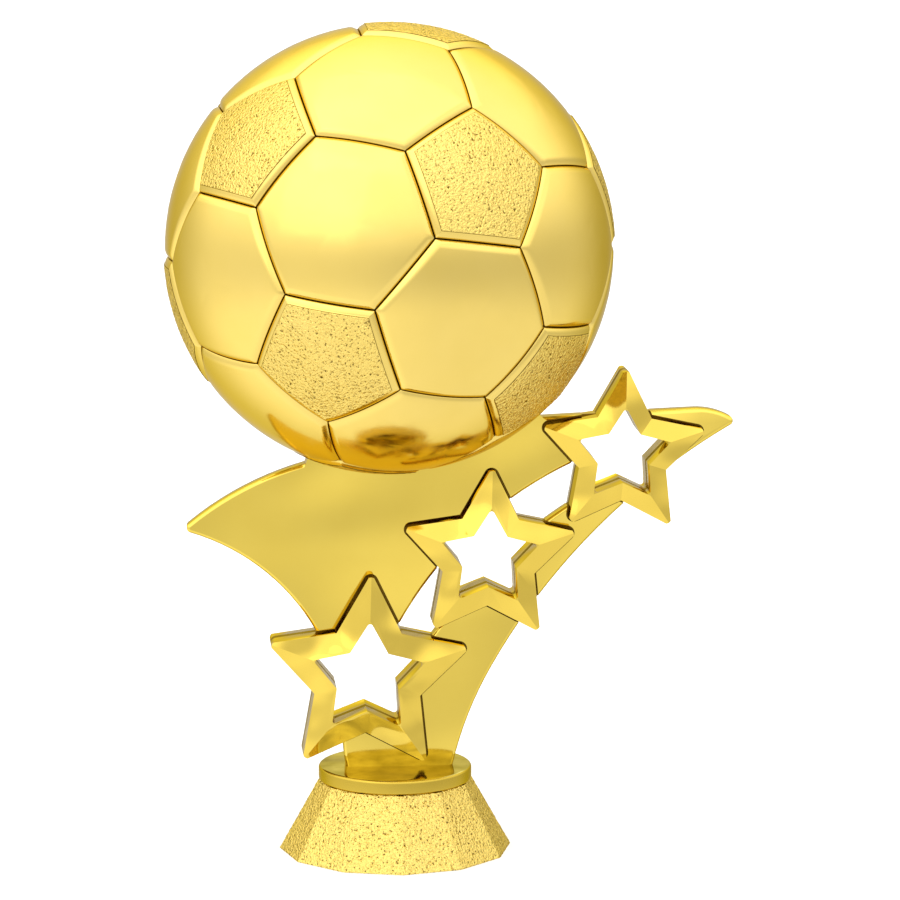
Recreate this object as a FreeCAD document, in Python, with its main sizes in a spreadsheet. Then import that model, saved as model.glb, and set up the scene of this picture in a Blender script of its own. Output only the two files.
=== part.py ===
import FreeCAD, Part
import Sketcher
import math
import os

# Figure trophy: a football on a wing with three open stars, on a twelve-sided pedestal.
# Millimetres, +Z up. Origin: centre of the pedestal's underside. The front looks along -Y.
# The wing, the stars and the ball share the mid-plane y = 0 and are mirror-symmetric about it.

os.makedirs("parts", exist_ok=True)
doc = FreeCAD.newDocument("figure_trophy")
sheet = doc.addObject("Spreadsheet::Sheet", "dims")

DIMS = {
    # pedestal: hollow twelve-sided skirt with a centre boss
    "pedestal_foot_radius": 20.0, "pedestal_neck_radius": 13.2, "pedestal_height": 12.1,
    "skirt_wall": 2.2, "pedestal_roof": 2.3, "boss_radius": 7.5, "boss_foot_z": 0.0,
    "rib_thickness": 1.2, "rib_foot_z": 3.5,
    # captive nut (M6 thin) and foot screw (3 mm) on the centre line
    "nut_flats": 10.0, "nut_thickness": 3.2, "nut_bore_radius": 2.5, "nut_fit": 0.05,
    "screw_shank_radius": 1.45, "screw_head_radius": 2.8, "screw_head_height": 2.0,
    "screw_length": 6.0, "screw_fit": 0.05, "screw_floor": 1.6, "head_clearance": 0.4,
    # round cap between pedestal and wing
    "disc_radius": 13.25, "disc_thickness": 2.5, "disc_edge_round": 0.5,
    # wing plate
    "wing_thickness": 4.0, "web_thickness": 1.6, "wing_edge_break": 0.6, "wing_tip_round": 0.8,
    "seat_gap": 0.3, "tenon_width": 9.0, "tenon_depth": 6.6, "tenon_fit": 0.05,
    # wing outline, anticlockwise from the left end of the foot
    "foot_left_x": -8.6, "foot_right_x": 9.9, "wing_knee_x": 16.6, "wing_knee_z": 31.8,
    "right_tip_x": 59.0, "right_tip_z": 74.2, "right_crest_x": 51.6, "right_crest_z": 76.4,
    "ball_exit_right_x": 25.3, "ball_exit_right_z": 75.3, "tongue_right_x": 21.0,
    "tongue_right_z": 79.5, "tongue_top_x": 17.0, "tongue_top_z": 82.0,
    "tongue_left_x": -10.0, "tongue_left_z": 80.0, "tongue_heel_x": -13.0,
    "tongue_heel_z": 74.0, "ball_exit_left_x": -15.3, "ball_exit_left_z": 67.8,
    "left_tip_x": -36.5, "left_tip_z": 56.5, "left_waist_x": -9.1, "left_waist_z": 20.5,
    "stem_right_arc": 64.0, "right_crest_arc": 12.0, "left_top_arc": 54.5,
    "left_lower_arc": 37.0,
    # long slot between the wing and its stem
    "slot_foot_left_x": -0.9, "slot_foot_left_z": 36.6, "slot_foot_right_x": 4.7,
    "slot_foot_right_z": 35.0, "slot_head_x": 32.5, "slot_head_high_z": 68.2,
    "slot_head_low_z": 61.6, "slot_upper_arc": 66.0, "slot_lower_arc": 85.0,
    # open five-pointed stars
    "star_lower_x": -4.9, "star_lower_z": 30.65, "star_lower_radius": 18.7,
    "star_middle_x": 16.0, "star_middle_z": 51.3, "star_middle_radius": 16.25,
    "star_upper_x": 39.0, "star_upper_z": 68.9, "star_upper_radius": 15.5,
    "star_tilt": 2.2, "star_notch_ratio": 0.522, "star_hole_ratio": 0.542, "hole_notch_ratio": 0.554,
    "star_rim_half_depth": 3.8, "star_crest_half_depth": 5.0, "star_draft": 0.35,
    "star_tip_round": 1.0, "hole_tip_round": 0.5,
    "star_peg_radius": 0.7, "star_peg_reach": 1.1, "peg_fit": 0.05, "star_peg_ratio": 0.75,
    # ball
    "ball_x": -0.75, "ball_z": 104.35, "ball_radius": 38.1, "ball_wall": 2.4,
    "ball_tilt": 8.5, "seam_width": 0.9, "seam_depth": 0.5,
    "ball_boss_radius": 3.4, "ball_peg_radius": 1.6, "ball_peg_reach": 6.0,
    "ball_peg_left_x": -6.0, "ball_peg_left_z": 74.5, "ball_peg_right_x": 14.0,
    "ball_peg_right_z": 77.0,
}
for row, (alias, number) in enumerate(DIMS.items(), start=1):
    sheet.set("A%d" % row, alias.replace("_", " "))
    sheet.set("B%d" % row, str(number))
    sheet.setAlias("B%d" % row, alias)
doc.recompute()

# A quarter turn about X: a sketch's x, y and an axis Z become the model's X, Z and -Y.
FACING = FreeCAD.Rotation(FreeCAD.Vector(1, 0, 0), 90)


def bind(obj, **links):
    """Tie properties to expressions; a double underscore stands for a dot."""
    for prop, expression in links.items():
        obj.setExpression(prop.replace("__", "."), expression)
    return obj


def place(obj, x="0", y="0", z="0", rotation=None):
    """Position an object by expressions, with an optional fixed rotation."""
    if rotation is not None:
        obj.Placement = FreeCAD.Placement(FreeCAD.Vector(0, 0, 0), rotation)
    centre = {"x": x, "y": y, "z": z}
    for axis, expression in centre.items():
        obj.setExpression("Placement.Base." + axis, expression)
    return obj


def primitive(kind, name, x="0", y="0", z="0", rotation=None, sides=None, **sizes):
    """Part primitive with every size and its position bound to the sheet."""
    obj = doc.addObject("Part::" + kind, name)
    if sides:
        obj.Polygon = sides
    bind(obj, **sizes)
    return place(obj, x, y, z, rotation)


def boolean(kind, name, *shapes):
    """MultiFuse or MultiCommon of several objects."""
    obj = doc.addObject("Part::Multi" + kind, name)
    obj.Shapes = list(shapes)
    return obj


def cut(name, base, *tools):
    obj = doc.addObject("Part::Cut", name)
    obj.Base = base
    obj.Tool = tools[0] if len(tools) == 1 else boolean("Fuse", name + "_tools", *tools)
    return obj


def extrude(name, source, start, length):
    """Prism of an upright sketch towards the front, from y = -start to y = -(start + length)."""
    obj = doc.addObject("Part::Extrusion", name)
    obj.Base = source
    obj.DirMode = "Custom"
    obj.Dir = FreeCAD.Vector(0, -1, 0)
    obj.Solid = True
    bind(obj, LengthFwd=length)
    return place(obj, y="-(%s)" % start)


def offset(name, source, distance, corners):
    """Planar offset of an outline; corners is Arc or Intersection."""
    obj = doc.addObject("Part::Offset2D", name)
    obj.Source = source
    obj.Join = corners
    return bind(obj, Value=distance)


def mirrored(name, source):
    """The same solid on the other side of the mid-plane."""
    obj = doc.addObject("Part::Mirroring", name)
    obj.Source = source
    obj.Base = FreeCAD.Vector(0, 0, 0)
    obj.Normal = FreeCAD.Vector(0, 1, 0)
    return obj


def arc_between(start, end, radius):
    """Arc from start to end; a positive radius bulges to the left of the line start-end."""
    chord = end - start
    half = chord.Length / 2
    drop = math.sqrt(radius * radius - half * half)
    left = FreeCAD.Vector(-chord.y, chord.x, 0).normalize()
    centre = (start + end) * 0.5 - left * math.copysign(drop, radius)
    first, last = (end, start) if radius > 0 else (start, end)
    circle = Part.Circle(centre, FreeCAD.Vector(0, 0, 1), abs(radius))
    return Part.ArcOfCircle(circle, math.atan2(first.y - centre.y, first.x - centre.x),
                            math.atan2(last.y - centre.y, last.x - centre.x))


def outline(sketch, corners, arcs):
    """Closed loop of lines and arcs through corners (x, y, x expression, y expression).

    arcs maps the index of a side to (alias of its radius, +1 or -1 for the bulge). A number
    in place of the alias is only a first guess: that arc runs on smoothly from the last side."""
    points = [FreeCAD.Vector(corner[0], corner[1], 0) for corner in corners]
    count = len(points)
    ends = {}
    for side in range(count):
        start, end = points[side], points[(side + 1) % count]
        if side in arcs:
            size, sign = arcs[side]
            radius = getattr(sheet, size) if isinstance(size, str) else size
            sketch.addGeometry(arc_between(start, end, sign * radius))
            ends[side] = (2, 1) if sign > 0 else (1, 2)
        else:
            sketch.addGeometry(Part.LineSegment(start, end))
            ends[side] = (1, 2)
    for side in range(count):
        following = (side + 1) % count
        smooth = following in arcs and not isinstance(arcs[following][0], str)
        sketch.addConstraint(Sketcher.Constraint(
            "Tangent" if smooth else "Coincident",
            side, ends[side][1], following, ends[following][0]))
    for side, (x, y, x_expression, y_expression) in enumerate(corners):
        for kind, number, expression in (("DistanceX", x, x_expression),
                                         ("DistanceY", y, y_expression)):
            index = sketch.addConstraint(Sketcher.Constraint(
                kind, -1, 1, side, ends[side][0], number))
            sketch.setExpression("Constraints[%d]" % index, expression)
    for side, (size, sign) in arcs.items():
        if isinstance(size, str):
            index = sketch.addConstraint(Sketcher.Constraint("Radius", side, getattr(sheet, size)))
            sketch.setExpression("Constraints[%d]" % index, "dims." + size)
    return sketch


def corner(x_alias, y_alias):
    """Outline corner whose coordinates stand in the sheet."""
    return (getattr(sheet, x_alias), getattr(sheet, y_alias),
            "dims." + x_alias, "dims." + y_alias)


def star_corners(radius_alias, scale_alias=None, draft_alias=None):
    """Ten corners of a five-pointed star about its own centre, tips and notches in turn."""
    radius = getattr(sheet, radius_alias)
    text = "dims." + radius_alias
    if draft_alias:
        radius -= getattr(sheet, draft_alias)
        text = "(%s - dims.%s)" % (text, draft_alias)
    if scale_alias:
        radius *= getattr(sheet, scale_alias)
        text += " * dims." + scale_alias
    notch_alias = "hole_notch_ratio" if scale_alias else "star_notch_ratio"
    corners = []
    for step in range(10):
        reach, reach_text = radius, text
        if step % 2:
            reach *= getattr(sheet, notch_alias)
            reach_text += " * dims." + notch_alias
        angle = math.radians(90 + 36 * step - sheet.star_tilt)
        turn = "(%d - dims.star_tilt) * 1deg" % (90 + 36 * step)
        corners.append((reach * math.cos(angle), reach * math.sin(angle),
                        "%s * cos(%s)" % (reach_text, turn),
                        "%s * sin(%s)" % (reach_text, turn)))
    return corners


def upright_sketch(name, corners, arcs=None, x="0", depth="0", z="0"):
    """Sketch in a plane parallel to XZ, depth in front of the mid-plane."""
    sketch = doc.addObject("Sketcher::SketchObject", name)
    outline(sketch, corners, arcs or {})
    return place(sketch, x, "-(%s)" % depth, z, FACING)


def loft(name, *sections):
    obj = doc.addObject("Part::Loft", name)
    obj.Sections = list(sections)
    obj.Solid = True
    obj.Ruled = True
    return obj


# ---------------------------------------------------------------- pedestal
def twelve_sided(name, foot_radius, neck_radius, height):
    """Twelve-sided frustum with a corner at the front."""
    foot = primitive("RegularPolygon", name + "_foot", sides=12, Circumradius=foot_radius)
    neck = primitive("RegularPolygon", name + "_neck", sides=12, Circumradius=neck_radius, z=height)
    return loft(name, foot, neck)


SLOPE = "(dims.pedestal_foot_radius - dims.pedestal_neck_radius) / dims.pedestal_height"
ROOF_Z = "(dims.pedestal_height - dims.pedestal_roof)"
NUT_TOP = "(dims.boss_foot_z + dims.nut_thickness)"
SCREW_FLOOR_TOP = "(dims.pedestal_height + dims.disc_thickness - dims.tenon_depth)"
SCREW_FLOOR = "(%s - dims.screw_floor)" % SCREW_FLOOR_TOP

skirt = twelve_sided("skirt", "dims.pedestal_foot_radius", "dims.pedestal_neck_radius",
                     "dims.pedestal_height")
cavity = twelve_sided("cavity", "dims.pedestal_foot_radius - dims.skirt_wall",
                      "dims.pedestal_neck_radius + %s * dims.pedestal_roof - dims.skirt_wall" % SLOPE,
                      ROOF_Z)
rib_limit = twelve_sided("rib_limit", "dims.pedestal_foot_radius - dims.skirt_wall / 2",
                         "dims.pedestal_neck_radius - dims.skirt_wall / 2", "dims.pedestal_height")
rib_x = primitive("Box", "rib_x", x="-dims.pedestal_foot_radius", y="-dims.rib_thickness / 2",
                  z="dims.rib_foot_z", Length="2 * dims.pedestal_foot_radius",
                  Width="dims.rib_thickness", Height=ROOF_Z + " + 0.5 - dims.rib_foot_z")
rib_y = primitive("Box", "rib_y", x="-dims.rib_thickness / 2", y="-dims.pedestal_foot_radius",
                  z="dims.rib_foot_z", Length="dims.rib_thickness",
                  Width="2 * dims.pedestal_foot_radius",
                  Height=ROOF_Z + " + 0.5 - dims.rib_foot_z")
ribs = boolean("Common", "ribs", boolean("Fuse", "rib_cross", rib_x, rib_y), rib_limit)
boss = primitive("Cylinder", "boss", z="dims.boss_foot_z", Radius="dims.boss_radius",
                 Height="dims.pedestal_height - dims.boss_foot_z")
socket = primitive("Box", "tenon_socket", x="-dims.tenon_width / 2 - dims.tenon_fit",
                   y="-dims.wing_thickness / 2 - dims.tenon_fit", z=SCREW_FLOOR_TOP,
                   Length="dims.tenon_width + 2 * dims.tenon_fit",
                   Width="dims.wing_thickness + 2 * dims.tenon_fit",
                   Height="dims.tenon_depth + 1")
nut_pocket = primitive("Prism", "nut_pocket", sides=6,
                       Circumradius="(dims.nut_flats / 2 + dims.nut_fit) / cos(30deg)",
                       Height=NUT_TOP)
head_recess = primitive("Cylinder", "head_recess", z="dims.boss_foot_z",
                        Radius="dims.screw_head_radius + dims.head_clearance",
                        Height=SCREW_FLOOR + " - dims.boss_foot_z")
screw_way = primitive("Cylinder", "screw_way", z="dims.boss_foot_z",
                      Radius="dims.screw_shank_radius + dims.screw_fit",
                      Height="dims.pedestal_height")
pedestal = cut("pedestal", boolean("Fuse", "pedestal_solid", cut("skirt_shell", skirt, cavity),
                                   ribs, boss),
               socket, nut_pocket, head_recess, screw_way)

# ---------------------------------------------------------------- captive nut and foot screw
nut_blank = primitive("Prism", "nut_blank", sides=6, z="dims.boss_foot_z",
                      Circumradius="dims.nut_flats / 2 / cos(30deg)", Height="dims.nut_thickness")
nut_bore = primitive("Cylinder", "nut_bore", Radius="dims.nut_bore_radius", Height="10")
nut_lead = primitive("Cone", "nut_lead", z=NUT_TOP + " - 0.5", Radius1="dims.nut_bore_radius",
                     Radius2="dims.nut_bore_radius + 0.5", Height="0.5")
captive_nut = cut("captive_nut", nut_blank, nut_bore, nut_lead)

HEAD_Z = "(%s - dims.screw_head_height)" % SCREW_FLOOR
screw_head = primitive("Cylinder", "screw_head", z=HEAD_Z, Radius="dims.screw_head_radius",
                       Height="dims.screw_head_height")
screw_shank = primitive("Cylinder", "screw_shank", z=HEAD_Z, Radius="dims.screw_shank_radius",
                        Height="dims.screw_head_height + dims.screw_length - 1")
screw_point = primitive("Cone", "screw_point", Radius1="dims.screw_shank_radius", Radius2="0.5",
                        z=HEAD_Z + " + dims.screw_head_height + dims.screw_length - 1", Height="1")
drive_a = primitive("Box", "drive_a", x="-1.6", y="-0.35", z=HEAD_Z, Length="3.2", Width="0.7",
                    Height="1.2")
drive_b = primitive("Box", "drive_b", x="-0.35", y="-1.6", z=HEAD_Z, Length="0.7", Width="3.2",
                    Height="1.2")
foot_screw = cut("foot_screw", boolean("Fuse", "screw_solid", screw_head, screw_shank, screw_point),
                 drive_a, drive_b)

# ---------------------------------------------------------------- pedestal disc
disc_body = doc.addObject("PartDesign::Body", "disc_body")
disc_sketch = disc_body.newObject("Sketcher::SketchObject", "disc_sketch")
disc_sketch.addGeometry(Part.Circle(FreeCAD.Vector(0, 0, 0), FreeCAD.Vector(0, 0, 1),
                                    sheet.disc_radius))
disc_sketch.addConstraint(Sketcher.Constraint("Coincident", 0, 3, -1, 1))
radius_index = disc_sketch.addConstraint(Sketcher.Constraint("Radius", 0, sheet.disc_radius))
disc_sketch.setExpression("Constraints[%d]" % radius_index, "dims.disc_radius")
disc_pad = disc_body.newObject("PartDesign::Pad", "disc_pad")
disc_pad.Profile = disc_sketch
bind(disc_pad, Length="dims.disc_thickness")
doc.recompute()
disc_round = disc_body.newObject("PartDesign::Fillet", "disc_round")
rims = ["Edge%d" % (n + 1) for n, edge in enumerate(disc_pad.Shape.Edges)
        if edge.isClosed() and edge.Length > 6 * sheet.disc_radius]
disc_round.Base = (disc_pad, rims)
bind(disc_round, Radius="dims.disc_edge_round")
place(disc_body, z="dims.pedestal_height")
disc_slot = primitive("Box", "disc_slot", x="-dims.tenon_width / 2 - dims.tenon_fit",
                      y="-dims.wing_thickness / 2 - dims.tenon_fit",
                      Length="dims.tenon_width + 2 * dims.tenon_fit",
                      Width="dims.wing_thickness + 2 * dims.tenon_fit", Height="30")
pedestal_disc = cut("pedestal_disc", disc_body, disc_slot)

# ---------------------------------------------------------------- wing plate
FOOT_Z = "dims.pedestal_height + dims.disc_thickness"
foot_z = sheet.pedestal_height + sheet.disc_thickness
wing_corners = [
    (sheet.foot_left_x, foot_z, "dims.foot_left_x", FOOT_Z),
    (sheet.foot_right_x, foot_z, "dims.foot_right_x", FOOT_Z),
    corner("wing_knee_x", "wing_knee_z"), corner("right_tip_x", "right_tip_z"),
    corner("right_crest_x", "right_crest_z"), corner("ball_exit_right_x", "ball_exit_right_z"),
    corner("tongue_right_x", "tongue_right_z"), corner("tongue_top_x", "tongue_top_z"),
    corner("tongue_left_x", "tongue_left_z"), corner("tongue_heel_x", "tongue_heel_z"),
    corner("ball_exit_left_x", "ball_exit_left_z"), corner("left_tip_x", "left_tip_z"),
    corner("left_waist_x", "left_waist_z")]
WING_ARCS = {1: ("stem_right_arc", 1), 2: (110.0, 1), 3: ("right_crest_arc", -1),
             4: (900.0, -1), 10: ("left_top_arc", -1), 11: ("left_lower_arc", 1),
             12: (35.0, -1)}
slot_corners = [corner("slot_foot_left_x", "slot_foot_left_z"),
                corner("slot_foot_right_x", "slot_foot_right_z"),
                corner("slot_head_x", "slot_head_low_z"),
                corner("slot_head_x", "slot_head_high_z")]
SLOT_ARCS = {1: ("slot_lower_arc", 1), 3: ("slot_upper_arc", -1)}

wing_body = doc.addObject("PartDesign::Body", "wing_body")
front_plane = [f for f in wing_body.Origin.OriginFeatures if f.Role == "XZ_Plane"][0]
wing_sketch = wing_body.newObject("Sketcher::SketchObject", "wing_sketch")
wing_sketch.AttachmentSupport = [(front_plane, "")]
wing_sketch.MapMode = "FlatFace"
outline(wing_sketch, wing_corners, WING_ARCS)
wing_pad = wing_body.newObject("PartDesign::Pad", "wing_pad")
wing_pad.Profile = wing_sketch
wing_pad.Midplane = True
bind(wing_pad, Length="dims.wing_thickness")
doc.recompute()
slot_sketch = wing_body.newObject("Sketcher::SketchObject", "slot_sketch")
slot_sketch.AttachmentSupport = [(front_plane, "")]
slot_sketch.MapMode = "FlatFace"
outline(slot_sketch, slot_corners, SLOT_ARCS)
wing_slot = wing_body.newObject("PartDesign::Pocket", "wing_slot")
wing_slot.Profile = slot_sketch
wing_slot.Midplane = True
bind(wing_slot, Length="2 * dims.wing_thickness")
doc.recompute()


def edge_names(shape, test):
    return ["Edge%d" % (n + 1) for n, edge in enumerate(shape.Edges) if test(edge)]


def is_tip(edge):
    """Edge across the thickness at either end of the wing."""
    tips = ((sheet.left_tip_x, sheet.left_tip_z), (sheet.right_tip_x, sheet.right_tip_z))
    return all(any(math.hypot(v.X - x, v.Z - z) < 0.01 for x, z in tips) for v in edge.Vertexes)


tip_round = wing_body.newObject("PartDesign::Fillet", "tip_round")
tip_round.Base = (wing_slot, edge_names(wing_slot.Shape, is_tip))
bind(tip_round, Radius="dims.wing_tip_round")
doc.recompute()


def is_rim(edge):
    """Curved edge of either face, which the hand can touch."""
    half = sheet.wing_thickness / 2
    flat = all(abs(abs(v.Y) - half) < 0.01 for v in edge.Vertexes)
    same_face = edge.BoundBox.YLength < 0.01
    return flat and same_face and not isinstance(edge.Curve, Part.Line)


rim_break = wing_body.newObject("PartDesign::Chamfer", "rim_break")
rim_break.Base = (tip_round, edge_names(tip_round.Shape, is_rim))
bind(rim_break, Size="dims.wing_edge_break")
wing_body.Tip = rim_break
doc.recompute()

# ---------------------------------------------------------------- stars
WEB = "dims.web_thickness / 2"
SEAT_REACH = "dims.star_crest_half_depth + 1"
PEG_ANGLES = (90, 234, 306)


def rounded(name, source, radius):
    """Outline whose outward corners are rounded and whose inward corners stay sharp."""
    inset = offset(name + "_inset", source, "-" + radius, "Intersection")
    return offset(name, inset, radius, "Arc")


def cross_pin(name, x, z, radius, rear, front):
    """Cylinder along Y from y = rear to y = -front."""
    return primitive("Cylinder", name, x=x, y=rear, z=z, rotation=FACING, Radius=radius,
                     Height="(%s) + (%s)" % (rear, front))


seats, cores, through_cuts, star_frames = [], [], [], {}
for place_name in ("lower", "middle", "upper"):
    star = "star_" + place_name
    size = star + "_radius"
    x, z = "dims." + star + "_x", "dims." + star + "_z"
    back_edge = upright_sketch(star + "_back", star_corners(size), x=x, z=z, depth=WEB)
    rim_edge = upright_sketch(star + "_rim", star_corners(size, draft_alias="star_draft"),
                              x=x, z=z, depth="dims.star_rim_half_depth")
    crest_edge = upright_sketch(star + "_crest", star_corners(size, "star_hole_ratio"),
                                x=x, z=z, depth="dims.star_crest_half_depth")
    flat_edge = upright_sketch(star + "_flat", star_corners(size), x=x, z=z)
    flat_hole = upright_sketch(star + "_flat_hole", star_corners(size, "star_hole_ratio"),
                               x=x, z=z)
    edge = rounded(star + "_edge", flat_edge, "dims.star_tip_round")
    hole_edge = rounded(star + "_hole_edge", flat_hole, "dims.hole_tip_round")
    seat_edge = offset(star + "_seat_edge", edge, "dims.seat_gap", "Arc")

    hole = extrude(star + "_hole", hole_edge, "-(%s)" % SEAT_REACH, "2 * (%s)" % SEAT_REACH)
    facets = loft(star + "_facets", back_edge, rim_edge, crest_edge)
    bounds = extrude(star + "_bounds", edge, WEB, SEAT_REACH)
    frame = cut(star + "_frame", boolean("Common", star + "_blank", facets, bounds), hole)
    pegs, sockets = [], []
    for number, angle in enumerate(PEG_ANGLES):
        turn = "(%d - dims.star_tilt) * 1deg" % angle
        reach = "dims.%s * dims.star_peg_ratio" % size
        at = ("%s + %s * cos(%s)" % (x, reach, turn), "%s + %s * sin(%s)" % (z, reach, turn))
        pegs.append(cross_pin("%s_peg_%d" % (star, number), *at, "dims.star_peg_radius",
                              WEB + " + dims.star_peg_reach", WEB + " + 0.5"))
        sockets.append(cross_pin("%s_socket_%d" % (star, number), *at,
                                 "dims.star_peg_radius + dims.peg_fit",
                                 WEB + " + dims.star_peg_reach + 0.2", WEB))
    star_frames[star + "_front"] = boolean("Fuse", star + "_front", frame, *pegs)
    star_frames[star + "_rear"] = cut(star + "_rear", mirrored(star + "_frame_rear", frame),
                                      *sockets)
    seat = extrude(star + "_seat", seat_edge, WEB, SEAT_REACH)
    seats += [seat, mirrored(star + "_seat_rear", seat)]
    cores.append(extrude(star + "_core", edge, "-(%s)" % WEB, "dims.web_thickness"))
    through_cuts += [hole] + sockets

# ---------------------------------------------------------------- wing plate, finished
tenon = primitive("Box", "tenon", x="-dims.tenon_width / 2", y="-dims.wing_thickness / 2",
                  z="dims.pedestal_height + dims.disc_thickness - dims.tenon_depth",
                  Length="dims.tenon_width", Width="dims.wing_thickness",
                  Height="dims.tenon_depth + 1")
pilot = primitive("Cylinder", "pilot", Radius="dims.screw_shank_radius + dims.screw_fit",
                  Height=HEAD_Z + " + dims.screw_head_height + dims.screw_length + 0.5")
BALL_PEGS = ("left", "right")
TONGUE = "dims.wing_thickness / 2"


def ball_pins(name, radius, rear, front):
    """One pin along Y at each of the ball's two peg positions."""
    return [cross_pin("%s_%s" % (name, side), "dims.ball_peg_%s_x" % side,
                      "dims.ball_peg_%s_z" % side, radius, rear, front) for side in BALL_PEGS]


tongue_holes = ball_pins("tongue_hole", "dims.ball_peg_radius + dims.peg_fit",
                         TONGUE + " + 1", TONGUE + " + 1")
plate_blank = boolean("Fuse", "plate_blank", cut("wing_seated", wing_body, *seats), *cores, tenon)
swoosh_plate = cut("swoosh_plate", plate_blank, pilot, *through_cuts, *tongue_holes)

# ---------------------------------------------------------------- ball
GOLDEN = (1 + math.sqrt(5)) / 2


def panel_axes():
    """Unit axes of the twelve pentagons and of the twenty hexagons of a football."""
    fives = []
    for a in (1, -1):
        for b in (GOLDEN, -GOLDEN):
            fives += [FreeCAD.Vector(0, a, b), FreeCAD.Vector(a, b, 0), FreeCAD.Vector(b, 0, a)]
    fives = [axis.normalize() for axis in fives]
    near = math.cos(math.radians(70))
    sixes = []
    for i, one in enumerate(fives):
        for j in range(i + 1, 12):
            for k in range(j + 1, 12):
                two, three = fives[j], fives[k]
                if min(one.dot(two), one.dot(three), two.dot(three)) > near:
                    sixes.append((one + two + three).normalize())
    return fives, sixes


def meeting_point(planes):
    """Point shared by three planes, each a pair (unit normal, distance from the origin)."""
    (a, p), (b, q), (c, r) = planes
    return (b.cross(c) * p + c.cross(a) * q + a.cross(b) * r) * (1 / a.dot(b.cross(c)))


def panel_block(axis, distance, neighbours, half_seam, low, high):
    """Frustum over one panel, between two levels along its axis.

    A panel's flat lies at its distance along its axis. The edge that two panels share is in
    the plane through the ball's centre; each side stands half a seam inside that plane."""
    side = axis.cross(neighbours[0][0]).normalize()
    up = side.cross(axis)
    ring = sorted(neighbours, key=lambda pair: math.atan2(pair[0].dot(side), pair[0].dot(up)))
    planes = [((axis * (1 / distance) - other * (1 / other_distance)).normalize(), half_seam)
              for other, other_distance in ring]
    count = len(planes)
    rings = []
    for level in (low, high):
        points = [meeting_point((planes[n - 1], planes[n], (axis, level))) for n in range(count)]
        rings.append(points + points[:1])
    faces = [Part.Face(Part.makePolygon(points)) for points in rings]
    for n in range(count):
        faces.append(Part.Face(Part.makePolygon(
            [rings[0][n], rings[0][n + 1], rings[1][n + 1], rings[1][n], rings[0][n]])))
    solid = Part.Solid(Part.Shell(faces))
    return solid.reversed() if solid.Volume < 0 else solid


def panel_blocks(radius, seam, tilt):
    """Blocks over all thirty-two panels, tilted about Y, centred on the origin."""
    edge = 1 / math.sqrt(58 + 18 * math.sqrt(5)) * 4
    five_distance = math.sqrt(1 - (edge / (2 * math.sin(math.radians(36)))) ** 2)
    six_distance = math.sqrt(1 - edge * edge)
    fives, sixes = panel_axes()
    panels = [(axis, five_distance) for axis in fives] + [(axis, six_distance) for axis in sixes]
    near = math.cos(math.radians(45))
    blocks = []
    for axis, distance in panels:
        neighbours = [pair for pair in panels if near < axis.dot(pair[0]) < 0.999]
        blocks.append(panel_block(axis, distance, neighbours, seam / 2, 0.85 * radius,
                                  1.1 * radius))
    blocks = Part.makeCompound(blocks)
    plane_angle = math.degrees(math.atan(GOLDEN))
    blocks.rotate(FreeCAD.Vector(0, 0, 0), FreeCAD.Vector(0, 1, 0), tilt - plane_angle)
    return blocks


def ball_sphere(name, radius):
    return primitive("Sphere", name, x="dims.ball_x", z="dims.ball_z", Radius=radius)


# A football's seams are great-circle edges in space, which no sketch or primitive gives.
panels = doc.addObject("Part::Feature", "panels")
panels.Shape = panel_blocks(sheet.ball_radius, sheet.seam_width, sheet.ball_tilt)
place(panels, x="dims.ball_x", z="dims.ball_z")
pads = boolean("Common", "pads", panels, ball_sphere("panel_skin", "dims.ball_radius"))
seam_floor = ball_sphere("seam_floor", "dims.ball_radius - dims.seam_depth")
ball_inside = ball_sphere("ball_inside", "dims.ball_radius - dims.ball_wall")
ball_whole = cut("ball_whole", boolean("Fuse", "ball_solid", seam_floor, pads), ball_inside)
front_space = primitive("Box", "front_space", x="dims.ball_x - 2 * dims.ball_radius",
                        y="-2 * dims.ball_radius", z="dims.ball_z - 2 * dims.ball_radius",
                        Length="4 * dims.ball_radius", Width="2 * dims.ball_radius",
                        Height="4 * dims.ball_radius")
half_shell = boolean("Common", "half_shell", ball_whole, front_space)
boss_limit = ball_sphere("boss_limit", "dims.ball_radius - dims.ball_wall / 2")
ball_bosses = boolean("Common", "ball_bosses", boss_limit, boolean(
    "Fuse", "boss_pair", *ball_pins("ball_boss", "dims.ball_boss_radius", "-" + TONGUE,
                                    "dims.ball_radius")))
tongue_gap = extrude("tongue_gap", offset("tongue_gap_edge", wing_sketch, "dims.seat_gap", "Arc"),
                     "0", TONGUE)
half_ball = cut("half_ball", boolean("Fuse", "bossed_shell", half_shell, ball_bosses), tongue_gap)
ball_front_shell = boolean("Fuse", "ball_front_shell", half_ball, *ball_pins(
    "ball_peg", "dims.ball_peg_radius", TONGUE + " + dims.ball_peg_reach", TONGUE + " + 1"))
ball_rear_shell = cut("ball_rear_shell", mirrored("half_ball_rear", half_ball), *ball_pins(
    "ball_socket", "dims.ball_peg_radius + dims.peg_fit",
    TONGUE + " + dims.ball_peg_reach + 0.4", TONGUE))

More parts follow.
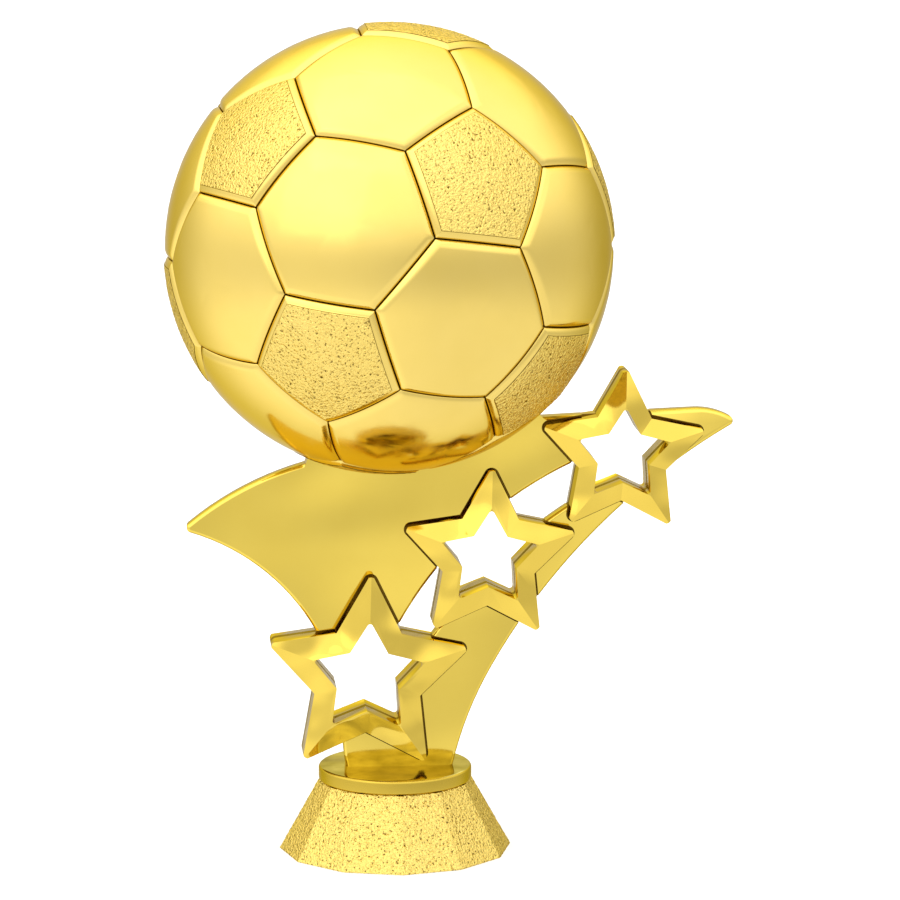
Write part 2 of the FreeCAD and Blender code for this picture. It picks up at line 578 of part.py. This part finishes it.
# ---------------------------------------------------------------- check and export
NODES = {"pedestal": pedestal, "pedestal_disc": pedestal_disc, "captive_nut": captive_nut,
         "foot_screw": foot_screw, "swoosh_plate": swoosh_plate,
         "ball_front_shell": ball_front_shell, "ball_rear_shell": ball_rear_shell, **star_frames}
doc.recompute()
for obj in doc.Objects:
    if "Invalid" in obj.State or "Error" in obj.State:
        raise RuntimeError("%s did not compute: %s" % (obj.Name, obj.State))
for name, obj in NODES.items():
    obj.Label = name
    shape = obj.Shape
    if shape.isNull() or not shape.isValid():
        raise RuntimeError("%s has no valid shape" % name)
    if len(shape.Solids) != 1:
        raise RuntimeError("%s has %d solids" % (name, len(shape.Solids)))
    shape.exportStep("parts/%s.step" % name)
    box = shape.BoundBox
    print("%-18s %8.0f mm3  x %6.1f %6.1f  y %6.1f %6.1f  z %6.1f %6.1f" % (
        name, shape.Volume, box.XMin, box.XMax, box.YMin, box.YMax, box.ZMin, box.ZMax))
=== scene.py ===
import itertools
import math

import bmesh
import bpy
import numpy as np
from mathutils import Matrix, Vector, noise


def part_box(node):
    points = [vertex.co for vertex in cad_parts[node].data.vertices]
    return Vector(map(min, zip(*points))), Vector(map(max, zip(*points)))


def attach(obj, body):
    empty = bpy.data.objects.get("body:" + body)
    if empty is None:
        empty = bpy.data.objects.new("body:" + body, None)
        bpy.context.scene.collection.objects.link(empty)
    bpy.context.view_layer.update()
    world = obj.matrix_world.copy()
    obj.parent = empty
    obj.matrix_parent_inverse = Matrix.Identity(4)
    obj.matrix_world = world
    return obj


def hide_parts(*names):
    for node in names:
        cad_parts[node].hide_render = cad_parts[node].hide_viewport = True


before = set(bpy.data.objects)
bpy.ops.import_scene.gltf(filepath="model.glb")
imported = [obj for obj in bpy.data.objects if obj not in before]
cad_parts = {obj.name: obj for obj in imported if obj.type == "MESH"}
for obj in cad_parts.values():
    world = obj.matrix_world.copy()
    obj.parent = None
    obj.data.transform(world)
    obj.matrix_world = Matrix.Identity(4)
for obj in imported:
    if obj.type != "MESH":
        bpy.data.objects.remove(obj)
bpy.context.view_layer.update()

MM = 0.001


# ---------------------------------------------------------------- materials
def node(tree, kind, **inputs):
    """Shader node with input sockets set by name; keys that start with p_ are properties."""
    made = tree.nodes.new(kind)
    for key, value in inputs.items():
        if key.startswith("p_"):
            setattr(made, key[2:], value)
        else:
            made.inputs[key.replace("_", " ")].default_value = value
    return made


EDGE_TINT = (0.95, 0.79, 0.34)   # colour of a metal seen nearly edge-on
# painted shade: a near-black brown laid in the hollows of a grain
PAINTED_PIT_SHADE = (0.12, 0.07, 0.008)
MIX_FACTOR, MIX_FIRST, MIX_SECOND = 0, 6, 7   # sockets of a Mix node in colour mode
MIX_RESULT = 2


def colour_mix(tree, first, second=None):
    """Mix node in colour mode, with one or both of its colours set."""
    made = tree.nodes.new("ShaderNodeMix")
    made.data_type = "RGBA"
    made.inputs[MIX_FIRST].default_value = (*first, 1)
    if second:
        made.inputs[MIX_SECOND].default_value = (*second, 1)
    return made


def metal(name, pale, deep, rough, grain_mm, grain_height_mm, mottle_mm=9.0, metallic=1.0,
          shaded_grain_levels=None, warp_mm=0.0, warp_span_mm=26.0):
    """Metallised finish: two near tones in soft clouds, uneven gloss, and a fine grain.

    Given a pair of grain levels, the lowest spots of the grain are painted dark as shade in the
    hollows. With warp, the surface also sinks and swells broadly, as a thick moulding does."""
    material = bpy.data.materials.new(name)
    material.use_nodes = True
    tree = material.node_tree
    tree.nodes.clear()
    out = tree.nodes.new("ShaderNodeOutputMaterial")
    shader = node(tree, "ShaderNodeBsdfPrincipled", Metallic=metallic)
    where = tree.nodes.new("ShaderNodeTexCoord")
    clouds = node(tree, "ShaderNodeTexNoise", Scale=1 / (mottle_mm * MM), Detail=3.0)
    tones = colour_mix(tree, deep, pale)
    smears = node(tree, "ShaderNodeTexNoise", Scale=2.3 / (mottle_mm * MM), Detail=5.0)
    gloss = node(tree, "ShaderNodeMapRange", From_Min=0.3, From_Max=0.7,
                 To_Min=rough[0], To_Max=rough[1])
    grain = node(tree, "ShaderNodeTexNoise", Scale=1 / (grain_mm * MM), Detail=2.0)
    bump = node(tree, "ShaderNodeBump", Strength=1.0, Distance=grain_height_mm * MM)
    link = tree.links.new
    for texture in (clouds, smears, grain):
        link(where.outputs["Object"], texture.inputs["Vector"])
    link(clouds.outputs["Fac"], tones.inputs[MIX_FACTOR])
    colour = tones.outputs[MIX_RESULT]
    if metallic:
        shader.inputs["Specular Tint"].default_value = (*EDGE_TINT, 1)
    # painted shade: the lowest spots of the grain are darkened
    if shaded_grain_levels:
        depth = node(tree, "ShaderNodeMapRange", From_Min=shaded_grain_levels[0], From_Max=shaded_grain_levels[1])
        pit_shade = colour_mix(tree, PAINTED_PIT_SHADE)
        link(grain.outputs["Fac"], depth.inputs["Value"])
        link(depth.outputs["Result"], pit_shade.inputs[MIX_FACTOR])
        link(colour, pit_shade.inputs[MIX_SECOND])
        colour = pit_shade.outputs[MIX_RESULT]
    link(colour, shader.inputs["Base Color"])
    link(smears.outputs["Fac"], gloss.inputs["Value"])
    link(gloss.outputs["Result"], shader.inputs["Roughness"])
    link(grain.outputs["Fac"], bump.inputs["Height"])
    if warp_mm:
        swell = node(tree, "ShaderNodeTexNoise", Scale=1 / (warp_span_mm * MM), Detail=0.0)
        bend = node(tree, "ShaderNodeBump", Strength=1.0, Distance=warp_mm * MM)
        link(where.outputs["Object"], swell.inputs["Vector"])
        link(swell.outputs["Fac"], bend.inputs["Height"])
        link(bend.outputs["Normal"], bump.inputs["Normal"])
    link(bump.outputs["Normal"], shader.inputs["Normal"])
    link(shader.outputs["BSDF"], out.inputs["Surface"])
    return material


WING_PALE, WING_DEEP = (0.73, 0.55, 0.100), (0.67, 0.49, 0.078)
BALL_PALE, BALL_DEEP = (0.76, 0.57, 0.160), (0.72, 0.53, 0.125)
gold_mirror = metal("gold_mirror", WING_PALE, WING_DEEP, (0.05, 0.12), 0.9, 0.0015,
                    warp_mm=5.0)
gold_ball = metal("gold_ball", BALL_PALE, BALL_DEEP, (0.10, 0.20), 1.1, 0.0015)
gold_satin = metal("gold_satin", (0.55, 0.39, 0.055), (0.49, 0.34, 0.042), (0.22, 0.32), 0.5,
                   0.004)
gold_star = metal("gold_star", (0.71, 0.52, 0.088), (0.64, 0.455, 0.068), (0.05, 0.12), 0.9,
                  0.0015, warp_mm=2.2, warp_span_mm=8.0)
# the pebbled gold has painted shade in the low spots of its grain
gold_pebbled = metal("gold_pebbled", BALL_PALE, BALL_DEEP, (0.08, 0.16), 0.40, 0.40,
                     shaded_grain_levels=(0.30, 0.40))
# painted shade: a dark brown gold laid where shade falls, in the seam cracks, the step round a
# pentagon's field and the wing's star seats
painted_crease_shade = metal("painted_crease_shade", (0.26, 0.165, 0.022), (0.14, 0.085, 0.010), (0.3, 0.5), 0.5,
                    0.004)
# painted reflections: clouds between pale gold and near-black stand for bright and dark patches
# reflected in the disc's top
disc_painted_reflections = metal("disc_painted_reflections", (0.95, 0.85, 0.33), (0.03, 0.024, 0.006), (0.05, 0.12), 0.9,
                  0.0015, mottle_mm=5.0, warp_mm=0.8, warp_span_mm=9.0)
steel = metal("steel", (0.62, 0.62, 0.60), (0.50, 0.50, 0.49), (0.22, 0.38), 0.3, 0.004)


# ---------------------------------------------------------------- mesh helpers
WEB_HALF = 0.8            # half the thickness of the web that the stars are bonded to, mm
WEB_SLACK = 0.05          # mm
WELD_DISTANCE = 0.002     # mm
FLAT_DEG = 0.6            # faces closer than this to one plane are merged
BEVEL_FROM_DEG = 18       # edges sharper than this are rounded


def make_piece(name, slot, material, vertices, faces, *replaced):
    """Smooth-shaded mesh object on the root body; vertices in metres."""
    mesh = bpy.data.meshes.new(name)
    mesh.from_pydata(vertices, [], faces)
    mesh.validate()
    for polygon in mesh.polygons:
        polygon.use_smooth = True
    return settle(name, slot, [material], mesh, *replaced)


def settle(name, slot, materials, mesh, *replaced):
    """Object for a finished mesh: materials, body, and the nodes it stands for; the slot is not
    used.
    """
    for material in materials:
        mesh.materials.append(material)
    piece = bpy.data.objects.new(name, mesh)
    bpy.context.scene.collection.objects.link(piece)
    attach(piece, "root")
    if replaced:
        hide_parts(*replaced)
    return piece


def lathe(profile, count):
    """Closed surface of revolution about Z from (radius, height) pairs that start and end at 0."""
    vertices, faces, rings = [], [], []
    for radius, height in profile:
        if radius == 0:
            rings.append([len(vertices)] * count)
            vertices.append((0, 0, height))
            continue
        rings.append(range(len(vertices), len(vertices) + count))
        vertices += [(radius * math.cos(turn), radius * math.sin(turn), height)
                     for turn in (2 * math.pi * n / count for n in range(count))]
    for below, above in zip(rings, rings[1:]):
        for n in range(count):
            m = (n + 1) % count
            face = (below[n], below[m], above[m], above[n])
            faces.append(tuple(dict.fromkeys(face)))
    return vertices, faces


def in_shaded_seat(face):
    """True for a star's recess, wall and floor, and for the cut edge of the web inside a star, the
    faces that get painted shade.
    """
    depths = [vertex.co.y / MM for vertex in face.verts]
    one_side = min(depths) > 0 or max(depths) < 0
    nearest = min(abs(depth) for depth in depths)
    web_edge = max(abs(depth) for depth in depths) < WEB_HALF + WEB_SLACK
    return web_edge or (one_side and abs(nearest - WEB_HALF) < WEB_SLACK)


def cad_copy(name, source, slot, material, sharp_deg, bevel_mm=0.0):
    """The CAD node's own shape with welded, softly rounded edges; the star seats get painted
    shade.
    """
    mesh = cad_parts[source].data.copy()
    mesh.materials.clear()
    form = bmesh.new()
    form.from_mesh(mesh)
    bmesh.ops.remove_doubles(form, verts=form.verts, dist=WELD_DISTANCE * MM)
    bmesh.ops.dissolve_limit(form, angle_limit=math.radians(FLAT_DEG), verts=form.verts,
                             edges=form.edges)
    for edge in form.edges:
        if len(edge.link_faces) == 2:
            edge.smooth = edge.calc_face_angle(0) < math.radians(sharp_deg)
    for face in form.faces:
        face.smooth = True
        # painted shade: the wing's star seats take the dark crease material
        face.material_index = int(source == "swoosh_plate" and in_shaded_seat(face))
    form.to_mesh(mesh)
    form.free()
    piece = settle(name, slot, [material, painted_crease_shade], mesh, source)
    if bevel_mm:
        bevel = piece.modifiers.new("soft_edges", "BEVEL")
        bevel.width = bevel_mm * MM
        bevel.segments = 2
        bevel.limit_method = "ANGLE"
        bevel.angle_limit = math.radians(BEVEL_FROM_DEG)
    normals = piece.modifiers.new("edge_normals", "WEIGHTED_NORMAL")
    normals.keep_sharp = True
    normals.weight = 100


FINER, FINE_SHARE, FINE_OFFSET = 2.1, 0.55, Vector((7.3, 1.9, 4.4))


def pebbles(point_mm, size_mm, height_mm):
    """Height of a spark-eroded grain at a point: a coarse noise and a finer, weaker one, in mm."""
    p = Vector(point_mm) / size_mm
    coarse = noise.noise(p)
    fine = noise.noise(p * FINER + FINE_OFFSET)
    return height_mm * (coarse + FINE_SHARE * fine)


# ---------------------------------------------------------------- ball
# the CAD ball's own centre, radius and tilt; lengths in this section are in millimetres
BALL_CENTRE = np.array((-0.75, 0.0, 104.35))
BALL_RADIUS = 38.1
BALL_TILT_DEG = 8.5
GOLDEN = (1 + math.sqrt(5)) / 2
NEIGHBOURS = (0.4, 0.5)   # the axes of two pentagons side by side have a dot product of 0.447
TRIO_DEG = 70             # the axes of three pentagons round a hexagon are 63 degrees apart
CORNER_SLACK = 0.01
# a panel's edge rolls down into the seam, which ends in a narrow crack
SEAM_DEPTH = 0.65
ROLL_WIDTH = 1.5
ROLL_POWER = 1.7
CRACK_DEPTH = 0.45
CRACK_WIDTH = 0.13
# a pentagon's rim ends at a small step up to its pebbled field
RIM_WIDTH = 0.5
FIELD_EDGE = 1.30
FIELD_PROUD = 0.22
FIELD_STEP = 0.09
FIELD_PEBBLE, FIELD_PEBBLE_HEIGHT = 0.45, 0.07
# a hexagon is lowest near its edge and swells towards its middle
CUSHION_DEPTH, CUSHION_REACH = 0.05, 3.0
# ball face finishes: smooth, pebbled, and crease faces that get painted shade
SMOOTH, PEBBLED, CREASE_SHADE = range(3)
# distances of the rings of vertices from the seam; a pentagon's field has evenly spaced ones
EDGE_RINGS = [0.0, CRACK_WIDTH, 0.24, 0.38, 0.58, 0.82, 1.08, ROLL_WIDTH]
SIX_RINGS = EDGE_RINGS + [1.8, 2.5, 3.6, 5.0, 7.0, 9.0, 11.0]
FIELD_SPACING = 0.19
FIELD_END = 10.3
FIVE_PER_SIDE = 78
SIX_PER_SIDE = 24


def panel_axes():
    """Unit axes of the twelve pentagons and the twenty hexagons, before the ball's tilt."""
    fives = []
    for a in (1, -1):
        for b in (GOLDEN, -GOLDEN):
            fives += [(0, a, b), (a, b, 0), (b, 0, a)]
    fives = [np.array(axis) / np.linalg.norm(axis) for axis in fives]
    near = math.cos(math.radians(TRIO_DEG))
    sixes = []
    for one, two, three in itertools.combinations(fives, 3):
        if min(one @ two, one @ three, two @ three) > near:
            axis = one + two + three
            sixes.append(axis / np.linalg.norm(axis))
    return fives, sixes


def panel_corners(axis, fives):
    """Unit vectors to one panel's corners, in order round its axis."""
    corners = []
    for one in fives:
        for two in fives:
            if NEIGHBOURS[0] < one @ two < NEIGHBOURS[1]:
                # a corner lies a third of the way from one pentagon's axis to the next one's
                point = 2 * one + two
                corners.append(point / np.linalg.norm(point))
    reach = min(np.linalg.norm(axis - c) for c in corners) + CORNER_SLACK
    own = [c for c in corners if np.linalg.norm(axis - c) < reach]
    side = np.cross(axis, own[0])
    side /= np.linalg.norm(side)
    up = np.cross(side, axis)
    own.sort(key=lambda c: math.atan2(c @ side, c @ up))
    return own


def roll(distance):
    """Height of a panel's rolled edge at a distance from the seam; 0 is the full surface."""
    if distance >= ROLL_WIDTH:
        return 0.0
    crack = max(0.0, 1 - distance / CRACK_WIDTH) * CRACK_DEPTH
    return -SEAM_DEPTH * (1 - distance / ROLL_WIDTH) ** ROLL_POWER - crack


def five_height(distance, point):
    """Surface of a pentagon: raised rim, fine step, and a pebbled field."""
    rise = FIELD_PROUD * 0.5 * min(distance / RIM_WIDTH, 1.0)
    if distance < FIELD_EDGE:
        return roll(distance) + rise
    step = min((distance - FIELD_EDGE) / FIELD_STEP, 1.0)
    return (roll(distance) + rise + 0.5 * FIELD_PROUD * step
            + step * pebbles(point, FIELD_PEBBLE, FIELD_PEBBLE_HEIGHT))


def five_finish(distance):
    """The step round the field gets painted shade, and the field inside it is pebbled."""
    if distance < FIELD_EDGE:
        return SMOOTH
    return CREASE_SHADE if distance < FIELD_EDGE + FIELD_STEP else PEBBLED


def six_height(distance, point):
    """Surface of a hexagon: smooth, very slightly cushioned."""
    return roll(distance) - CUSHION_DEPTH * math.exp(-distance / CUSHION_REACH)


def six_finish(distance):
    """A hexagon is smooth all over."""
    return SMOOTH


def ball_panel(axis, corners, rings, per_side, height, finish_of):
    """Vertices, faces and finishes of one panel, ring by ring from the seam to the centre."""
    apothem = math.tan(math.acos(axis @ (corners[0] + corners[1])
                                 / np.linalg.norm(corners[0] + corners[1])))
    rim = []
    for n, corner in enumerate(corners):
        other = corners[(n + 1) % len(corners)]
        angle = math.acos(corner @ other)
        for step in range(per_side):
            part = angle * step / per_side
            point = corner * math.sin(angle - part) + other * math.sin(part)
            rim.append(point / (point @ axis) - axis)
    vertices, faces = [], []
    for distance in rings:
        share = 1 - distance / (apothem * BALL_RADIUS)
        for offset in rim:
            point = axis + offset * share
            point = point / np.linalg.norm(point)
            out = BALL_RADIUS + height(distance, point * BALL_RADIUS)
            vertices.append(point * out)
    vertices.append(axis * (BALL_RADIUS + height(apothem * BALL_RADIUS, axis * BALL_RADIUS)))
    count, last = len(rim), len(vertices) - 1
    finishes = []
    for ring in range(len(rings) - 1):
        middle = (rings[ring] + rings[ring + 1]) / 2
        # painted shade in the narrow crack at the bottom of each seam
        finish = CREASE_SHADE if middle < CRACK_WIDTH else finish_of(middle)
        for n in range(count):
            m = (n + 1) % count
            faces.append((ring * count + n, ring * count + m,
                          (ring + 1) * count + m, (ring + 1) * count + n))
            finishes.append(finish)
    inner = (len(rings) - 1) * count
    for n in range(count):
        faces.append((inner + n, inner + (n + 1) % count, last))
        finishes.append(finish_of(apothem * BALL_RADIUS))
    return vertices, faces, finishes


def ball_surface():
    """Mesh of all thirty-two panels, turned to the ball's pose, in metres in the row frame."""
    fives, sixes = panel_axes()
    # a pentagon's axis is turned from its place in the golden rectangle to the ball's tilt
    turn = np.array(Matrix.Rotation(math.radians(BALL_TILT_DEG) - math.atan(GOLDEN), 3, "Y"))
    field_start = FIELD_EDGE + FIELD_STEP
    five_rings = EDGE_RINGS[:-1] + [FIELD_EDGE, field_start]
    five_rings += list(np.arange(field_start + FIELD_SPACING, FIELD_END, FIELD_SPACING))
    vertices, faces, finishes = [], [], []
    kinds = ((fives, five_rings, FIVE_PER_SIDE, five_height, five_finish),
             (sixes, SIX_RINGS, SIX_PER_SIDE, six_height, six_finish))
    for axes, rings, per_side, height, finish_of in kinds:
        for axis in axes:
            points, quads, marks = ball_panel(axis, panel_corners(axis, fives), rings,
                                              per_side, height, finish_of)
            start = len(vertices)
            vertices += [turn @ p for p in points]
            faces += [tuple(start + i for i in face) for face in quads]
            finishes += marks
    mesh = bpy.data.meshes.new("ball_whole")
    mesh.from_pydata(((np.array(vertices) + BALL_CENTRE) * MM).tolist(), [], faces)
    mesh.polygons.foreach_set("material_index", finishes)
    return mesh


def half_ball(name, source, mesh, toward):
    """One half of the ball's skin; toward is the side of the mid-plane that it keeps."""
    form = bmesh.new()
    form.from_mesh(mesh)
    everything = form.verts[:] + form.edges[:] + form.faces[:]
    bmesh.ops.bisect_plane(form, geom=everything, plane_co=(0, 0, 0), plane_no=(0, toward, 0),
                           clear_inner=True)
    half = bpy.data.meshes.new(name)
    form.to_mesh(half)
    form.free()
    for polygon in half.polygons:
        polygon.use_smooth = True
    return settle(name, "ball_gold", [gold_ball, gold_pebbled, painted_crease_shade], half, source)


whole = ball_surface()
half_ball("ball_front", "ball_front_shell", whole, -1)
half_ball("ball_rear", "ball_rear_shell", whole, 1)

# ---------------------------------------------------------------- wing and stars
WING_SHARP_DEG, STAR_SHARP_DEG = 60, 35   # sharper edges than these stay hard
STAR_BEVEL = 0.22         # mm
cad_copy("wing", "swoosh_plate", "wing_gold", gold_mirror, WING_SHARP_DEG)
for place in ("lower", "middle", "upper"):
    for side in ("front", "rear"):
        cad_copy("star_%s_%s_trim" % (place, side), "star_%s_%s" % (place, side), "star_gold",
                 gold_star, STAR_SHARP_DEG, bevel_mm=STAR_BEVEL)

# ---------------------------------------------------------------- disc
disc_low, disc_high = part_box("pedestal_disc")
EDGE_ROUND, ROUND_STEPS = 0.5 * MM, 6
DISC_SEGMENTS = 192
FLAT_SHARE = 0.9          # share of the radius out to which the faces have no rings
RIM_NORMAL = 0.9          # faces tilted further than this from level belong to the satin rim
disc_radius = disc_high.x
bend = [(disc_radius - EDGE_ROUND * (1 - math.sin(t)), EDGE_ROUND * (1 - math.cos(t)))
        for t in (math.pi / 2 * n / ROUND_STEPS for n in range(ROUND_STEPS + 1))]
disc_profile = ([(0, disc_low.z), (disc_radius * FLAT_SHARE, disc_low.z)]
                + [(r, disc_low.z + h) for r, h in bend]
                + [(r, disc_high.z - h) for r, h in reversed(bend)]
                + [(disc_radius * FLAT_SHARE, disc_high.z), (0, disc_high.z)])
# the disc's top and bottom carry painted reflections; its rim is satin
disc = make_piece("disc_cap", "disc_gold", disc_painted_reflections, *lathe(disc_profile, DISC_SEGMENTS),
                  "pedestal_disc")
disc.data.materials.append(gold_satin)
for polygon in disc.data.polygons:
    polygon.material_index = int(abs(polygon.normal.z) < RIM_NORMAL)

# ---------------------------------------------------------------- pedestal
ped_low, ped_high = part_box("pedestal")
FOOT_RADIUS = ped_high.x
NECK_RADIUS = 13.2 * MM
SIDES = 12
SKIN_LIFT = 0.10          # mm clear of the CAD solid
SKIN_PEBBLE, SKIN_PEBBLE_HEIGHT = 0.5, 0.08   # mm
SKIN_TUCK = 0.93          # the skin's ends turn inwards to this share of their radius


def pedestal_skin():
    """Pebbled outer face of the twelve-sided foot, just outside the CAD solid."""
    across, upward = ((52, 72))
    count = SIDES * across
    height = ped_high.z - ped_low.z
    rows = []
    for level in range(upward + 1):
        part = level / upward
        radius = FOOT_RADIUS + (NECK_RADIUS - FOOT_RADIUS) * part
        row = []
        for n in range(count):
            side, along = divmod(n, across)
            a, b = (2 * math.pi * (side + k) / SIDES for k in (0, 1))
            t = along / across
            x = radius * ((1 - t) * math.cos(a) + t * math.cos(b))
            y = radius * ((1 - t) * math.sin(a) + t * math.sin(b))
            z = ped_low.z + height * part
            lift = SKIN_LIFT + pebbles((x / MM, y / MM, z / MM), SKIN_PEBBLE,
                                       SKIN_PEBBLE_HEIGHT)
            out = 1 + lift * MM / math.hypot(x, y)
            row.append((x * out, y * out, z))
        rows.append(row)
    rows.insert(0, [(x * SKIN_TUCK, y * SKIN_TUCK, z) for x, y, z in rows[0]])
    rows.append([(x * SKIN_TUCK, y * SKIN_TUCK, z) for x, y, z in rows[-1]])
    vertices = [v for row in rows for v in row]
    faces = [(r * count + n, r * count + (n + 1) % count, (r + 1) * count + (n + 1) % count,
              (r + 1) * count + n) for r in range(len(rows) - 1) for n in range(count)]
    return vertices, faces


make_piece("pedestal_skin", "pedestal_gold", gold_pebbled, *pedestal_skin())


def repaint(name, material):
    """Give a CAD node its finish."""
    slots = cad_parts[name].data.materials
    slots.clear()
    slots.append(material)


repaint("pedestal", gold_satin)
repaint("captive_nut", steel)
repaint("foot_screw", steel)

# ---------------------------------------------------------------- floor, light, camera
HALF = 9                  # half the floor's side, metres
floor_mesh = bpy.data.meshes.new("floor")
floor_mesh.from_pydata([(-HALF, -HALF, 0), (HALF, -HALF, 0), (HALF, HALF, 0), (-HALF, HALF, 0)],
                       [], [(0, 1, 2, 3)])
floor = bpy.data.objects.new("floor", floor_mesh)
bpy.context.scene.collection.objects.link(floor)
paper = metal("floor_paper", (0.84, 0.84, 0.84), (0.82, 0.82, 0.82), (0.7, 0.8), 3.0, 0.01,
              60.0, metallic=0.0)
floor_mesh.materials.append(paper)
floor.visible_glossy = False   # the gold reflects the studio's gradients instead

world = bpy.data.worlds.new("studio")
bpy.context.scene.world = world
world.use_nodes = True
room = world.node_tree
sky = room.nodes["Background"]
sky.inputs["Color"].default_value = (1, 1, 1, 1)
direction = room.nodes.new("ShaderNodeTexCoord")
split = room.nodes.new("ShaderNodeSeparateXYZ")
room.links.new(direction.outputs["Generated"], split.inputs["Vector"])


def ramp(axis, start, end, low, high):
    """Smooth change of brightness along one world axis."""
    made = node(room, "ShaderNodeMapRange", p_interpolation_type="SMOOTHSTEP",
                From_Min=start, From_Max=end, To_Min=low, To_Max=high)
    room.links.new(split.outputs[axis], made.inputs["Value"])
    return made.outputs["Result"]


def combine(operation, first, second):
    """Result of a sum, product or comparison of two brightnesses."""
    made = room.nodes.new("ShaderNodeMath")
    made.operation = operation
    room.links.new(first, made.inputs[0])
    room.links.new(second, made.inputs[1])
    return made.outputs["Value"]


# brighter overhead and to the left, brighter again far below, darker low down behind
overhead = combine("ADD", ramp("Z", -0.05, 0.5, 0.0, 0.8), ramp("X", -0.8, 0.5, 0.3, 0.0))
brightness = combine("ADD", overhead, ramp("Z", -0.5, -0.1, 1.25, 0.92))
backdrop = combine("MAXIMUM", ramp("Y", 0.2, 0.9, 1.0, 0.62), ramp("Z", 0.1, 0.6, 0.0, 1.0))
room.links.new(combine("MULTIPLY", brightness, backdrop), sky.inputs["Strength"])


def softbox(name, location, aim, width, height, brightness):
    """Rectangular area light of a given brightness, facing a point."""
    light = bpy.data.lights.new(name, "AREA")
    light.shape = "RECTANGLE"
    light.size, light.size_y = width, height
    light.energy = brightness * math.pi * width * height
    lamp = bpy.data.objects.new(name, light)
    lamp.location = location
    away = Vector(location) - Vector(aim)
    lamp.rotation_euler = away.to_track_quat("Z", "Y").to_euler()
    bpy.context.scene.collection.objects.link(lamp)


MIDDLE = (0.01, 0.0, 0.08)
softbox("top_light", (-0.1, -0.3, 1.3), MIDDLE, 1.4, 1.4, 0.35)
softbox("key_light", (-1.0, -1.1, 1.0), MIDDLE, 1.3, 1.3, 0.25)

LENS_MM, SENSOR_MM, NEAREST_M = 163.3, 36, 0.01
AIM = Vector((9.57, 0.0, 69.53)) * MM
AZIMUTH, ELEVATION, RANGE = math.radians(4.73), math.radians(9.34), 700 * MM
camera_data = bpy.data.cameras.new("camera")
camera_data.lens = LENS_MM
camera_data.sensor_width = SENSOR_MM
camera_data.clip_start = NEAREST_M
camera = bpy.data.objects.new("camera", camera_data)
camera.location = AIM + RANGE * Vector((-math.sin(AZIMUTH) * math.cos(ELEVATION),
                                        -math.cos(AZIMUTH) * math.cos(ELEVATION),
                                        math.sin(ELEVATION)))
camera.rotation_euler = (camera.location - AIM).to_track_quat("Z", "Y").to_euler()
bpy.context.scene.collection.objects.link(camera)
bpy.context.scene.camera = camera
bpy.context.scene.view_settings.view_transform = "Standard"
